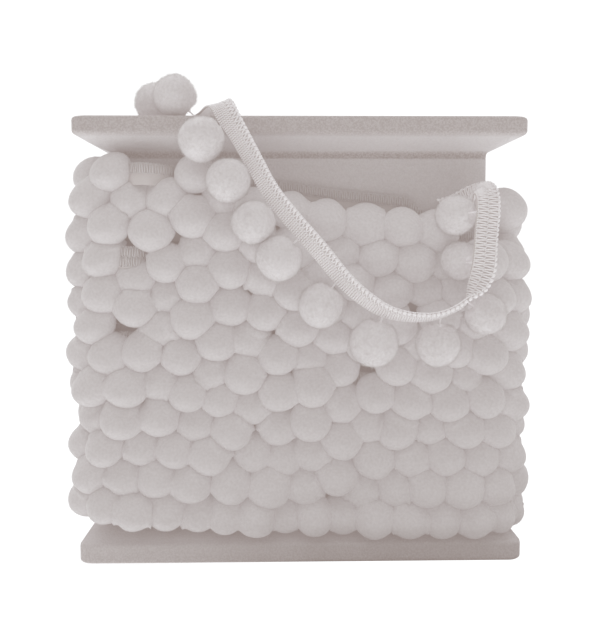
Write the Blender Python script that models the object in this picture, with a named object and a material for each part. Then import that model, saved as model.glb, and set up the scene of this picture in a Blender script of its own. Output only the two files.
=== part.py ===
"""Pompom fringe trim wound on a square foam spool, with its loose end looped over the top flange.

+Z is up, +X is to the right and -Y is the front. The origin is the middle of the spool's flat
bottom face. Sizes are in millimetres, turned into metres by MM.
"""

import math

import bmesh
import bpy
from mathutils import Vector

MM = 0.001
GAP = 0.3                    # clearance between pieces that touch

# Foam spool
FLANGE_SIDE = 120.0
SPOOL_HEIGHT = 119.2
TOP_RIM = 4.7                # thickness of the top flange at its edge
BOTTOM_RIM = 5.6
OVERHANG = 8.8               # how far a flange stands out from the core
TAPER = 3.6                  # how much a flange thickens towards the core
NECK = 1.5                   # straight collar where a flange meets the core
RIM_ROUND = 1.0
FILLET = 1.5                 # hollow rounding between a flange's slope and the core
CORNER = 3.0                 # corner radius in plan
CORNER_STEPS = 4
ROUND_STEPS = 3

# Trim
HEADER_WIDTH = 6.5           # woven tape that the pompoms hang from
HEADER_THICK = 1.0
STEM_ROOT = 0.4              # stretch in which a stem leaves the tape straight
STEM_GAP = 0.5               # from a stem's end to its pompom, so that its corners clear too
STEM_TIP = 0.6               # thickness of a stem's end as a share of its root
STEM_HALF = 0.08             # half a stem's thickness, in rows of the tape's route
WINDING_THICK = 11.3         # from the core to the outside of the wound pompoms
TURN_PITCH = 7.6             # height that each turn takes
VALLEY_DEPTH = 3.4           # how deep the groove between two turns is

CORE_HALF = FLANGE_SIDE / 2 - OVERHANG
BOTTOM_SHOULDER = BOTTOM_RIM + TAPER
TOP_SHOULDER = SPOOL_HEIGHT - TOP_RIM - TAPER

# Winding: the grid of its outer skin
WALL_GAP = 0.42              # from the core to the winding
FIRST_GROOVE = 4.4           # height of the lowest groove's line where the turns begin
FLAT_TURNS = 5.0             # turns over which the dip of the turns grows to its full depth
SIDE_STEPS = 10
WIND_CORNER_STEPS = 3
LEVELS = 60
WIND_FOOT = BOTTOM_RIM + 2.4
HEADER_SHOWS = 3.0           # bare strip of tape above the last turn's pompoms
TOP_SLOPE = 3.6              # height over which the pompoms round out below that strip
FOOT_ROUND = 3.2
FOOT_TUCK = 0.25             # share of the thickness that is lost under the lowest pompoms
DENT_DEPTH = 3.35             # how far the loose end presses the winding in at the front
DENT_X, DENT_Z = 42.0, 82.0
DENT_WIDE, DENT_HIGH = 9.0, 16.0

# Top edge of the winding, and how far its turns dip below an even climb, at places round the core:
# side, share of that side's length, height of the top edge, dip
WINDING_LINE = (
    ("front", 0.00, 107.6, 0.0),
    ("front", 0.20, 107.0, -1.3),
    ("front", 0.40, 104.0, -2.9),
    ("front", 0.60, 101.0, -4.5),
    ("front", 0.80, 99.0, -5.9),
    ("front", 0.90, 91.0, -6.5),
    ("front", 1.00, 89.6, -6.9),
    ("right", 0.00, 92.0, -6.9),
    ("right", 0.10, 101.0, -6.7),
    ("right", 0.50, 104.5, -5.9),
    ("right", 1.00, 105.0, -4.8),
    ("back", 0.00, 105.0, -4.8),
    ("back", 0.50, 105.6, -3.6),
    ("back", 1.00, 106.2, -2.5),
    ("left", 0.00, 106.2, -2.5),
    ("left", 0.50, 107.0, -1.3),
    ("left", 1.00, 107.6, 0.0),
)
SIDES = ("front", "right", "back", "left")

# Loose end of the tape, from the last turn to its cut end:
# x, y, z of the tape's middle, then the direction across it to the edge with the pompoms
TAPE_ROUTE = (
    (38.2, -52.0, 95.0, 0.10, 0.00, -1.00),
    (42.0, -52.2, 96.1, 0.35, 0.00, -0.94),
    (45.0, -54.4, 98.2, 0.10, -0.10, -0.98),
    (46.5, -58.4, 99.6, -0.45, -0.10, -0.85),
    (47.1, -63.0, 100.0, -0.85, 0.00, -0.50),
    (47.2, -67.0, 98.0, -0.97, 0.00, -0.20),
    (46.9, -69.4, 94.0, -1.00, 0.00, 0.00),
    (46.3, -70.4, 89.2, -1.00, 0.00, 0.00),
    (45.9, -71.0, 84.4, -1.00, 0.00, 0.00),
    (45.4, -71.6, 79.8, -0.97, 0.24, 0.00),
    (43.9, -72.2, 75.6, -0.72, 0.69, 0.10),
    (41.0, -72.6, 71.4, 0.18, 0.97, -0.18),
    (36.8, -72.6, 68.8, 0.10, 0.96, -0.26),
    (31.5, -72.4, 67.4, 0.00, 0.94, -0.34),
    (25.0, -72.1, 67.8, -0.05, 0.90, -0.43),
    (19.0, -71.7, 69.9, -0.24, 0.82, -0.52),
    (11.4, -71.0, 75.8, -0.42, 0.72, -0.55),
    (4.0, -70.1, 84.6, -0.54, 0.66, -0.52),
    (-2.8, -69.0, 92.4, -0.56, 0.66, -0.50),
    (-8.0, -67.8, 99.2, -0.62, 0.68, -0.40),
    (-12.2, -66.3, 106.8, -0.70, 0.64, -0.32),
    (-15.8, -64.8, 113.4, -0.78, 0.54, -0.30),
    (-18.8, -63.5, 118.4, -0.90, 0.26, -0.34),
    (-20.8, -60.8, 121.6, -0.92, -0.18, -0.34),
    (-22.6, -56.8, 121.9, -0.86, -0.46, -0.20),
    (-24.8, -52.2, 120.5, -0.84, -0.54, 0.00),
    (-27.8, -46.8, 120.0, -0.83, -0.56, 0.00),
    (-31.4, -41.2, 120.0, -0.83, -0.56, 0.00),
    (-35.2, -35.6, 120.0, -0.83, -0.56, 0.00),
)
ROUTE_STEPS = 3              # tape sections between two points of the route

# Pompoms on the loose end: place along the route's rows where the stem leaves, x, y, z of the
# middle, diameter
LOOSE_POMPOMS = (
    (6.1, 39.6, -65.0, 93.1, 10.2),
    (8.8, 41.0, -65.0, 81.4, 9.8),
    (10.9, 46.9, -68.7, 67.9, 10.4),
    (12.4, 34.6, -69.4, 60.2, 11.2),
    (14.7, 18.2, -69.6, 60.6, 12.2),
    (16.2, 4.8, -69.0, 70.2, 11.2),
    (17.5, -5.8, -69.0, 82.1, 11.4),
    (18.6, -12.2, -68.8, 91.2, 10.8),
    (19.9, -18.6, -67.6, 101.7, 11.0),
    (21.8, -25.4, -66.2, 112.2, 11.4),
    (25.4, -33.4, -53.2, 125.2, 11.2),
    (27.4, -40.2, -42.8, 125.0, 11.0),
)
POMPOM_SEGMENTS = 14
POMPOM_RINGS = 8


def clear_scene():
    for old in list(bpy.data.objects):
        bpy.data.objects.remove(old)


def make_material(name, colour, roughness):
    made = bpy.data.materials.new(name)
    made.use_nodes = True
    shader = made.node_tree.nodes["Principled BSDF"]
    shader.inputs["Base Color"].default_value = (*colour, 1.0)
    shader.inputs["Roughness"].default_value = roughness
    shader.inputs["Metallic"].default_value = 0.0
    return made


def add_object(name, bm, material):
    """Turns a bmesh in millimetres into a named object in metres."""
    bmesh.ops.scale(bm, vec=(MM, MM, MM), verts=bm.verts)
    bmesh.ops.recalc_face_normals(bm, faces=bm.faces)
    mesh = bpy.data.meshes.new(name)
    bm.to_mesh(mesh)
    bm.free()
    mesh.materials.append(material)
    mesh.shade_smooth()
    mesh.set_sharp_from_angle(angle=math.radians(35))
    made = bpy.data.objects.new(name, mesh)
    bpy.context.scene.collection.objects.link(made)
    return made


def blend(low, high, share):
    return low + (high - low) * share


def soft_step(value):
    """0 below 0, 1 above 1 and a smooth rise between them."""
    held = min(max(value, 0.0), 1.0)
    return held * held * (3 - 2 * held)


def square_ring(half, corner, height):
    """Corner points of a square with rounded corners, seen from above."""
    points = []
    for quarter in range(4):
        for step in range(CORNER_STEPS + 1):
            angle = math.radians(90 * (quarter + step / CORNER_STEPS))
            turn = math.radians(90 * quarter + 45)
            middle_x = math.copysign(half - corner, math.cos(turn))
            middle_y = math.copysign(half - corner, math.sin(turn))
            points.append((middle_x + corner * math.cos(angle),
                           middle_y + corner * math.sin(angle), height))
    return points


def close_rings(bm, rings, joined_ends=False):
    """Joins rings of as many points with quads, then caps the ends or joins the last ring to the first."""
    vertex_rings = [[bm.verts.new(point) for point in ring] for ring in rings]
    count = len(vertex_rings[0])
    last = len(vertex_rings) if joined_ends else len(vertex_rings) - 1
    for row in range(last):
        near = vertex_rings[row]
        far = vertex_rings[(row + 1) % len(vertex_rings)]
        for i in range(count):
            j = (i + 1) % count
            bm.faces.new((near[i], near[j], far[j], far[i]))
    if not joined_ends:
        bm.faces.new(vertex_rings[0])
        bm.faces.new(vertex_rings[-1])
    return vertex_rings


def flange_profile(rim):
    """Half width, corner radius and height over the outer face, from that face to the core."""
    half = FLANGE_SIDE / 2
    taper_angle = math.atan2(TAPER, OVERHANG)
    rows = []
    for step in range(ROUND_STEPS + 1):
        turn = math.radians(90 * step / ROUND_STEPS)
        rows.append((half - RIM_ROUND * (1 - math.sin(turn)), RIM_ROUND * (1 - math.cos(turn))))
    for step in range(ROUND_STEPS + 1):
        turn = (math.pi / 2 - taper_angle) * step / ROUND_STEPS
        rows.append((half - RIM_ROUND * (1 - math.cos(turn)), rim - RIM_ROUND * (1 - math.sin(turn))))
    fillet_foot = CORE_HALF + FILLET * (1 - math.sin(taper_angle))
    fillet_middle = rim + (half - fillet_foot) * TAPER / OVERHANG + FILLET * math.cos(taper_angle)
    for step in range(ROUND_STEPS + 1):
        turn = (math.pi / 2 - taper_angle) * (1 - step / ROUND_STEPS)
        rows.append((CORE_HALF + FILLET * (1 - math.cos(turn)), fillet_middle - FILLET * math.sin(turn)))
    rows.append((CORE_HALF, rim + TAPER + NECK))
    return [(wide, CORNER, height) for wide, height in rows]


def build_spool(foam):
    bottom = bmesh.new()
    close_rings(bottom, [square_ring(half, corner, height)
                         for half, corner, height in flange_profile(BOTTOM_RIM)])
    add_object("spool_bottom_flange", bottom, foam)

    top = bmesh.new()
    close_rings(top, [square_ring(half, corner, SPOOL_HEIGHT - height)
                      for half, corner, height in flange_profile(TOP_RIM)])
    add_object("spool_top_flange", top, foam)

    core = bmesh.new()
    foot = BOTTOM_SHOULDER + NECK + GAP
    head = TOP_SHOULDER - NECK - GAP
    close_rings(core, [square_ring(CORE_HALF, CORNER, foot),
                       square_ring(CORE_HALF, CORNER, head)])
    add_object("spool_core", core, foam)


def winding_place(side, share):
    """Where a point of the core's outline lies, and which way is out, for a share of one side."""
    straight = CORE_HALF - CORNER
    along = blend(-straight, straight, share)
    return {
        "front": (Vector((along, -CORE_HALF, 0)), Vector((0, -1, 0))),
        "right": (Vector((CORE_HALF, along, 0)), Vector((1, 0, 0))),
        "back": (Vector((-along, CORE_HALF, 0)), Vector((0, 1, 0))),
        "left": (Vector((-CORE_HALF, -along, 0)), Vector((-1, 0, 0))),
    }[side]


def line_at(side, share):
    """Top edge and dip of the turns at a share of one side, between the rows of WINDING_LINE."""
    rows = [row[1:] for row in WINDING_LINE if row[0] == side]
    for (start, top_a, dip_a), (end, top_b, dip_b) in zip(rows, rows[1:]):
        if share <= end:
            part = (share - start) / (end - start)
            return blend(top_a, top_b, part), blend(dip_a, dip_b, part)
    return rows[-1][1:]


def winding_stations():
    """Place, outward direction, top edge, dip and climb for each station round the core, in order."""
    straight = 2 * (CORE_HALF - CORNER)
    corner_start = straight / (straight + CORNER * math.pi / 2)
    stations = []
    for number, side in enumerate(SIDES):
        for step in range(SIDE_STEPS + 1):
            share = step / SIDE_STEPS
            climb = TURN_PITCH * (number + corner_start * share) / 4
            stations.append((*winding_place(side, share), *line_at(side, share), climb))
        after = SIDES[(number + 1) % 4]
        _, _, top_a, dip_a, _ = stations[-1]
        top_b, dip_b = line_at(after, 0.0)
        corner_end, outward = winding_place(side, 1.0)
        centre = corner_end - outward * CORNER
        for step in range(1, WIND_CORNER_STEPS):
            share = step / WIND_CORNER_STEPS
            turn = math.radians(90 * share)
            turned = Vector((outward.x * math.cos(turn) - outward.y * math.sin(turn),
                             outward.x * math.sin(turn) + outward.y * math.cos(turn), 0))
            climb = TURN_PITCH * (number + blend(corner_start, 1.0, share)) / 4
            stations.append((centre + turned * CORNER, turned,
                             blend(top_a, top_b, share), blend(dip_a, dip_b, share), climb))
    return stations


def dent_at(place, height):
    """Depth pressed into the front of the winding behind the loose end."""
    if place.y > -CORE_HALF + CORNER:
        return 0.0
    across = (place.x - DENT_X) / DENT_WIDE
    up = (height - DENT_Z) / DENT_HIGH
    return DENT_DEPTH * math.exp(-across * across - up * up)


def winding_thickness(place, height, top, dip, climb):
    """How far the winding stands out from the core: a bulge for each turn's row of pompoms."""
    even = height - climb - FIRST_GROOVE
    settled = min(max(even / (FLAT_TURNS * TURN_PITCH), 0.0), 1.0)
    phase = (even - dip * settled) / TURN_PITCH
    bulge = WINDING_THICK - VALLEY_DEPTH * (0.5 + 0.5 * math.cos(2 * math.pi * phase))
    below_header = soft_step((top - height - HEADER_SHOWS) / TOP_SLOPE)
    foot = 1 - FOOT_TUCK * soft_step((WIND_FOOT + FOOT_ROUND - height) / FOOT_ROUND)
    return blend(HEADER_THICK, bulge - dent_at(place, height), below_header) * foot


def build_winding(yarn):
    bm = bmesh.new()
    sections = []
    for place, outward, top, dip, climb in winding_stations():
        section = [place + outward * WALL_GAP + Vector((0, 0, top))]
        for level in range(LEVELS + 1):
            height = blend(top, WIND_FOOT, level / LEVELS)
            out = WALL_GAP + winding_thickness(place, height, top, dip, climb)
            section.append(place + outward * out + Vector((0, 0, height)))
        section.append(place + outward * WALL_GAP + Vector((0, 0, BOTTOM_SHOULDER + NECK)))
        sections.append(section)
    close_rings(bm, sections, joined_ends=True)
    add_object("wound_trim", bm, yarn)


def smooth_between(values, index, share):
    """Catmull-Rom value between rows index and index + 1."""
    before = values[max(index - 1, 0)]
    start = values[index]
    end = values[index + 1]
    after = values[min(index + 2, len(values) - 1)]
    return 0.5 * (2 * start + (end - before) * share
                  + (2 * before - 5 * start + 4 * end - after) * share ** 2
                  + (3 * start - before - 3 * end + after) * share ** 3)


def tape_frame(place):
    """Middle, direction along, and direction to the pompom edge, at a place on the route's rows."""
    middles = [Vector(row[:3]) for row in TAPE_ROUTE]
    sides = [Vector(row[3:]).normalized() for row in TAPE_ROUTE]
    last = len(TAPE_ROUTE) - 1

    def middle_at(wanted):
        held = min(max(wanted, 0.0), float(last))
        row = min(int(held), last - 1)
        return smooth_between(middles, row, held - row)

    index = min(int(place), last - 1)
    middle = middle_at(place)
    along = (middle_at(place + 0.05) - middle_at(place - 0.05)).normalized()
    side = smooth_between(sides, index, place - index)
    side = (side - along * side.dot(along)).normalized()
    return middle, along, side


def tape_places():
    """Places on the route where the tape has a section: even ones, and a pair beside each stem."""
    last = len(TAPE_ROUTE) - 1
    stems = [row[0] for row in LOOSE_POMPOMS]
    places = [step / ROUTE_STEPS for step in range(last * ROUTE_STEPS + 1)]
    for stem in stems:
        places = [place for place in places if abs(place - stem) > 2.2 * STEM_HALF]
        places += [stem - STEM_HALF, stem + STEM_HALF]
    return sorted(places)


def tape_section(place):
    """Four corners of the tape's cross-section: the first two are on the pompom edge."""
    middle, along, side = tape_frame(place)
    up = along.cross(side)
    half_width = side * (HEADER_WIDTH / 2)
    half_thick = up * (HEADER_THICK / 2)
    return [middle + half_width + half_thick, middle + half_width - half_thick,
            middle - half_width - half_thick, middle - half_width + half_thick]


def build_tape(yarn):
    """The loose end as one comb: a flat tape with a short stem for each pompom."""
    bm = bmesh.new()
    places = tape_places()
    rings = close_rings(bm, [tape_section(place) for place in places])
    for stem, x, y, z, across in LOOSE_POMPOMS:
        start = max(i for i, place in enumerate(places) if place < stem)
        foot = bm.faces.get((rings[start][0], rings[start][1],
                             rings[start + 1][1], rings[start + 1][0]))
        side = tape_frame(stem)[2]
        root = bmesh.ops.extrude_discrete_faces(bm, faces=[foot])["faces"][0]
        bmesh.ops.translate(bm, vec=side * STEM_ROOT, verts=root.verts)
        tip = bmesh.ops.extrude_discrete_faces(bm, faces=[root])["faces"][0]
        reach = Vector((x, y, z)) - tip.calc_center_median()
        shift = reach.normalized() * (reach.length - across / 2 - STEM_GAP)
        middle = tip.calc_center_median()
        for vertex in tip.verts:
            vertex.co = middle + (vertex.co - middle) * STEM_TIP + shift
    add_object("loose_tape", bm, yarn)


def build_pompoms(yarn):
    for number, (_, x, y, z, across) in enumerate(LOOSE_POMPOMS, start=1):
        bm = bmesh.new()
        bmesh.ops.create_uvsphere(bm, u_segments=POMPOM_SEGMENTS, v_segments=POMPOM_RINGS,
                                  radius=across / 2)
        bmesh.ops.translate(bm, vec=(x, y, z), verts=bm.verts)
        add_object(f"pompom_{number:02d}", bm, yarn)


def main():
    clear_scene()
    foam = make_material("white_foam", (0.80, 0.79, 0.78), 0.85)
    tape = make_material("white_tape", (0.86, 0.85, 0.84), 0.75)
    pompom = make_material("white_pompom", (0.88, 0.87, 0.87), 0.95)
    build_spool(foam)
    build_winding(pompom)
    build_tape(tape)
    build_pompoms(pompom)


main()
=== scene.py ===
"""Looks of the pompom fringe trim on its square foam spool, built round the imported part.

Lengths are in millimetres, turned into metres by MM. +Z is up, +X is to the right and -Y is the
front. The origin is the middle of the spool's flat bottom face.
"""

import itertools
import math

import bpy
import numpy as np
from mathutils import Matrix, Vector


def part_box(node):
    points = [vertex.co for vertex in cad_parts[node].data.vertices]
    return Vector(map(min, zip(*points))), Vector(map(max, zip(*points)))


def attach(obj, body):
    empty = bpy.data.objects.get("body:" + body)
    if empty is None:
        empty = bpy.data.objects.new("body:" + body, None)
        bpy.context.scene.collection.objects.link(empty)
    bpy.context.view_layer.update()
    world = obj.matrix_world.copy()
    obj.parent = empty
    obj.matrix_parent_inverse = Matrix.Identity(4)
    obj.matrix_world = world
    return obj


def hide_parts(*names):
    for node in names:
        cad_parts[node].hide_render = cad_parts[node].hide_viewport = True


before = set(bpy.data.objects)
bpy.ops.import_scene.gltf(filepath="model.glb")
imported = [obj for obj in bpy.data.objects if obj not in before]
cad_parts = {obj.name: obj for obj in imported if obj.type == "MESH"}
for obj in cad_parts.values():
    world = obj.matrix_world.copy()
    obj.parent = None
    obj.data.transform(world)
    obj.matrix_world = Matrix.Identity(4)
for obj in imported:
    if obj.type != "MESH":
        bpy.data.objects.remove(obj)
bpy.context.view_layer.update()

MM = 0.001
GOLDEN = (1 + math.sqrt(5)) / 2

# Camera
CAMERA_PLACE = (-4.9, -280.4, 84.2)
CAMERA_YAW = 1.2  # degrees to the right
CAMERA_PITCH = 4.25  # degrees down
CAMERA_ROLL = 0.08
LENS = 48.2

# Spool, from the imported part
CORE_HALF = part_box("spool_core")[1].x / MM
CORE_CORNER = 3.0
RIM_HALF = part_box("spool_bottom_flange")[1].x / MM
BOTTOM_RIM = 5.6
FLANGE_TAPER = 3.6
OVERHANG = RIM_HALF - CORE_HALF
JOINTS = ((10.5, 11.2), (108.9, 109.6))  # heights between which each joint is closed
JOINT_DEPTH = 0.12  # how far the foam that closes it lies below the surface

# Wound trim
TURN_PITCH = 7.6
TURNS = 12.21  # from the front left corner to where the loose end starts
POMPOMS_PER_TURN = 41
PLACE_SPREAD = 0.27  # how unevenly they sit along the tape, for their spacing
CREST_SPREAD = 2.4  # how far one hangs higher or lower than its turn
FIRST_CREST = 8.2  # height of the first turn's pompoms where it starts
WOUND_RADIUS = 5.6
RADIUS_SPREAD = 0.25
RADIUS_SPAN = (5.0, 6.1)
HEADER_WIDTH = 6.5
HEADER_THICK = 0.8
HEADER_SHOWS = 4.2  # bare strip of tape above the last turn's pompoms
SQUEEZE = 0.92  # distance between pressed pompoms as a share of their two radii
RESTS_AT = 0.85  # height of a resting pompom's middle, as a share of its radius
LEANS_AT = 0.9  # the same off the tape it leans on
RELAX_ROUNDS = 300
PUSH = 0.35  # share of an overlap by which each of two pompoms moves in a round
STOP_PUSH = 0.5  # the same off what doesn't move
LOOSE_SHARE, TAPE_SHARE = 0.92, 0.97  # as SQUEEZE, off the loose pompoms and the tape
LAYER_DEPTH = 2.0  # most that one pompom stands further out than another
CORNER_DEPTH = 1.6  # the same at the core's corners, where the tape is tight
SIDE_DEPTH = 0.3  # share of these at the back and on the left
DROOP = 0.50  # how far a pompom's top is pressed in, for its height
DROOP_FROM, DROOP_EASE = -1.5, 2.0  # height from its middle where that sets in, how softly
SIDE_DROOP = 0.25  # share of it on the core's left and right sides
TUCKED_FROM = 102.0  # height from which the pompoms lie close to the core
TUCKED_OVER = 16.0  # height over which they come to that
OUTWARD_SHARE = 0.08  # share of a push that moves pompoms in or out
HOME_PULL = 0.006  # share of the way back to its place that one moves a round
WALL_PULL = 0.06  # the same towards the core

# Top edge of the winding, and how far its turns dip below an even climb: side of the core from the
# front, share of that side, height of the edge, dip
WINDING_LINE = (
    (0, 0.0, 107.6, 0.0), (0, 0.2, 107.0, -1.3), (0, 0.4, 104.0, -2.9),
    (0, 0.6, 101.0, -4.5), (0, 0.8, 99.0, -5.9), (0, 0.9, 91.0, -6.5),
    (0, 1.0, 89.6, -6.9), (1, 0.0, 92.0, -6.9), (1, 0.1, 101.0, -6.7),
    (1, 0.5, 104.5, -5.9), (1, 1.0, 105.0, -4.8), (2, 0.5, 105.6, -3.6),
    (2, 1.0, 106.2, -2.5), (3, 0.5, 107.0, -1.3), (3, 1.0, 107.6, 0.0),
)
FLAT_TURNS = 5.0  # turns over which the dip grows to its full depth
# Pompoms that the winding has turned up beside the tape: distance round the core, height
TURNED_UP = ((0.5, 103.6), (15.2, 104.3), (-9.0, 102.5), (108.0, 102.8))
TURNED_UP_OVER = 2.0  # how far these may reach over the winding's top edge
# Height of the lowest pompoms' middles, which climb to the end of the first turn, at such places
LOWEST_LINE = (
    (0, 0.0, 16.0), (0, 0.15, 14.0), (0, 0.4, 12.4), (0, 1.0, 11.8),
    (2, 1.0, 13.0), (3, 0.6, 17.0), (3, 0.9, 21.5), (3, 1.0, 16.0),
)
# Spots at the front where no pompom hides the tape: x, z
BARE_SPOTS = ((-41.0, 104.0), (-45.0, 84.0), (-47.5, 63.5), (18.0, 52.5))
BARE_REACH = 2.9
SPOT_LIFT = 9.0  # how far the tape stands up there
SPOT_WIDE, SPOT_HIGH = 6.0, 4.5
SPOT_SHOWS = 7.0  # how far from a spot the tape is woven
WOUND_LIFT = 0.55  # how far it stands off the core elsewhere
WOUND_STEP = 2.7  # between two sections of its mesh

# Loose end of the tape: x, y, z of its middle, then the direction across it to the pompom edge
TAPE_ROUTE = (
    (38.2, -52.0, 95.0, 0.1, 0.0, -1.0),
    (42.0, -52.2, 96.1, 0.35, 0.0, -0.94),
    (45.0, -54.4, 98.2, 0.1, -0.1, -0.98),
    (46.5, -58.4, 99.6, -0.45, -0.1, -0.85),
    (47.1, -63.0, 100.0, -0.85, 0.0, -0.5),
    (47.2, -67.0, 98.0, -0.97, 0.0, -0.2),
    (46.9, -69.4, 94.0, -1.0, 0.0, 0.0),
    (46.3, -70.4, 89.2, -1.0, 0.0, 0.0),
    (45.9, -71.0, 84.4, -1.0, 0.0, 0.0),
    (45.4, -71.6, 79.8, -0.97, 0.24, 0.0),
    (43.9, -72.2, 75.6, -0.72, 0.69, 0.1),
    (41.0, -72.6, 71.4, 0.18, 0.97, -0.18),
    (36.8, -72.6, 68.8, 0.1, 0.96, -0.26),
    (31.5, -72.4, 67.4, 0.0, 0.94, -0.34),
    (25.0, -72.1, 67.8, -0.05, 0.9, -0.43),
    (19.0, -71.7, 69.9, -0.24, 0.82, -0.52),
    (11.4, -71.0, 75.8, -0.42, 0.72, -0.55),
    (4.0, -70.1, 84.6, -0.54, 0.66, -0.52),
    (-2.8, -69.0, 92.4, -0.56, 0.66, -0.5),
    (-8.0, -67.8, 99.2, -0.62, 0.68, -0.4),
    (-12.2, -66.3, 106.8, -0.7, 0.64, -0.32),
    (-15.8, -64.8, 113.4, -0.78, 0.54, -0.3),
    (-18.8, -63.5, 118.4, -0.9, 0.26, -0.34),
    (-20.8, -60.8, 121.6, -0.92, -0.18, -0.34),
    (-22.6, -56.8, 121.9, -0.86, -0.46, -0.2),
    (-24.8, -52.2, 120.5, -0.84, -0.54, 0.0),
    (-27.8, -46.8, 120.0, -0.83, -0.56, 0.0),
    (-31.4, -41.2, 120.0, -0.83, -0.56, 0.0),
    (-35.2, -35.6, 120.0, -0.83, -0.56, 0.0),
)
# Where each loose pompom's stem leaves the tape, as a place on the route's rows
STEM_PLACES = (6.1, 8.8, 10.9, 12.4, 14.7, 16.2, 17.5, 18.6, 19.9, 21.8, 25.4, 27.4)
TAPE_STEP = 0.5  # between two sections of the tape's mesh
TAPE_HALF_THICK = 0.16
TAPE_ROWS = (-2.4, 0.0, 2.4)  # places across the tape where it presses on pompoms
TAPE_POINTS = 2.0  # between two points of such a row
TAPE_SPARED = 12  # points at the start of the first row that press on none
TAPE_REACH = 1.2  # radius of such a point
TAPE_ABOVE_CREST = 6.0  # from the middle of a row of wound pompoms to the middle of their tape
STEM_RADIUS = 0.24
STEM_ROOT = 0.5  # how far inside the tape's edge a loose stem starts
STEM_BOW = 0.25  # how far a loose stem bows
STEM_TWIST = 0.8  # turns of its two plies in a millimetre

# The tape's threads, placed across it from its middle (the edge chain is at the minus end) and out
# of it (plus is the knit face, minus the rung face)
YARN_RADIUS = 0.19
LOOP_PITCH = 1.25  # between two loops of the edge chain
BODY = (-2.6, 2.95)
CHAIN_AT = -2.85
CHAIN_START = 0.2
LADDER = (-2.65, -0.85)  # open zigzag between the chain and the knit body
WALES = (-0.6, 0.15, 0.9, 1.65, 2.4)
WALE_HALF = 0.19  # from a wale's middle to each of its two columns of stitches
RUNG_COLUMNS = (-2.75, -0.1, 2.5)
RUNG_INSET = 0.1
# Zigzags: place out of the tape, slope (the share of the way to the next loop that each leg
# covers) and how far a leg bows out
LADDER_LEGS = (0.30, 0.85, 0.08)
RUNG_LEGS = (-0.34, 0.40, -0.14)
# Columns of stitches: place out of the tape, pitch, slant in degrees and a stitch's half sizes
CHAIN = (0.34, LOOP_PITCH, 28, (0.64, 0.40, 0.48))
RUNG_CHAIN = (-0.36, LOOP_PITCH / 2, 22, (0.33, 0.15, 0.18))
KNIT = (0.28, 0.62, 34, (0.36, 0.16, 0.19))

# Pompom meshes
WOUND_BALL_CUTS = 6
LOOSE_BALL_CUTS = 14
WOUND_LOOKS = (0.02, 120, 0.65)  # height of the lumps, then number and length of the tufts
LOOSE_LOOKS = (0.012, 2600, 0.9)
LUMP_WAVES, LUMP_PACES, LUMP_SCALE = 7, (2.0, 6.5), 2.2
TUFT_THICK = 0.045
TUFT_SHORTEST = 0.5  # share of the longest
TUFT_ROOT = 0.25  # how deep a tuft's root lies below the surface
TUFT_SPREAD = 0.45  # how far the tufts lean away from straight out
TUFTS_ROUND = 0.6  # how far round from the way out they grow
FREE_FROM = 0.93  # share of the radius from which a pompom's surface is free
# A pompom's dimple at its stem, the swelling round it and the cleft beside it: depth or height as
# a share of the radius, then place and width as angles, or width alone
DIMPLE = (0.30, 0.26)
SWELLING = (0.04, 0.60, 0.25)
CLEFT = (0.05, 0.10)
STEM_REACH = 0.6  # share of the radius from a pompom's middle where its stem ends
PRESSED_UNDER = 1.2  # how far a pompom reaches in below the surface of a firmer one
FINER_OUT = 0.4  # how much finer its mesh is on the side that shows
FIRM_SHARE = 0.6  # how fast the firmer one's share of an overlap grows with the difference
FIRM_OUT, FIRM_UP, FIRM_SWING = 0.5, 0.28, 0.6  # what makes a pompom firmer than its neighbours
FIRM_WAVE = (1.7, 1.1, 2.3)
FILL_HEIGHT = 2.3  # how far their pile fills the groove between two pompoms
FILL_REACH = 2.6
FILL_SPREAD = 0.35  # how much that differs from place to place
FILL_WAVE = (0.9, 0.7, 1.1)
JUNCTIONS_OPEN = 4.0  # 1 fills the places where three pompoms meet like the grooves
FILL_LOWEST = -0.85  # height on a pompom, for its radius, below which its grooves stay open
FILL_FADES = 0.35  # height over which their fill sets in above that
BELOW_FROM = -0.4  # height of a neighbour under which their groove is full all the same

# Looks
FOAM_LIGHT, FOAM_DARK = (0.84, 0.828, 0.84), (0.765, 0.753, 0.765)
# Rough foam's dark and light colours; where the bands mix them in they also stand for painted shade
ROUGH_SHADED_LIGHT, ROUGH_SHADED_DARK = (0.56, 0.53, 0.53), (0.30, 0.27, 0.265)
FOAM_BEAD = 2.4
# How far rough, darker foam is mixed in at each height, partly as painted shade: the bottom rim (its
# painted shadow darkest at the floor), the core, the joint (a dark seam with painted shade of its
# corner under the flange), the top rim (rough foam with some painted shade)
FOAM_ROUGH_AND_SHADE = (
    (0.0, 0.60), (1.2, 0.40), (5.4, 0.30), (6.2, 0.15),
    (108.9, 0.20), (109.3, 0.80), (110.4, 0.80), (111.2, 0.0),
    (113.9, 0.0), (114.6, 0.55), (120.0, 0.55),
)
SHADE_SPAN = (0.3, 0.7)  # values of a noise that get the darkest and the lightest shade
ROUGH_SPAN = (0.4, 0.6)
# Looks of the fibres: dark and light shade of their noise, and a painted glow that stands in for
# light coming through them
LOOSE_PILE = ((0.83, 0.818, 0.83), (0.98, 0.965, 0.98), 0.035)
# the wound pompoms' copy of the pile: darker painted shade with a stronger painted glow
SHADED_WOUND_PILE = ((0.655, 0.645, 0.655), (0.76, 0.749, 0.76), 0.075)
# the loose tape's and stems' yarn, whose painted glow stands in for the yarn's glints
LOOSE_YARN = ((0.92, 0.907, 0.92), (0.98, 0.966, 0.98), 0.15)
# the wound tape's copy of the yarn: darker, painted shade
SHADED_WOUND_YARN = ((0.70, 0.69, 0.70), (0.80, 0.788, 0.80), 0.0)
PAINTED_GLOW_TINT = (1.0, 0.985, 1.0, 1.0)
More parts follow.
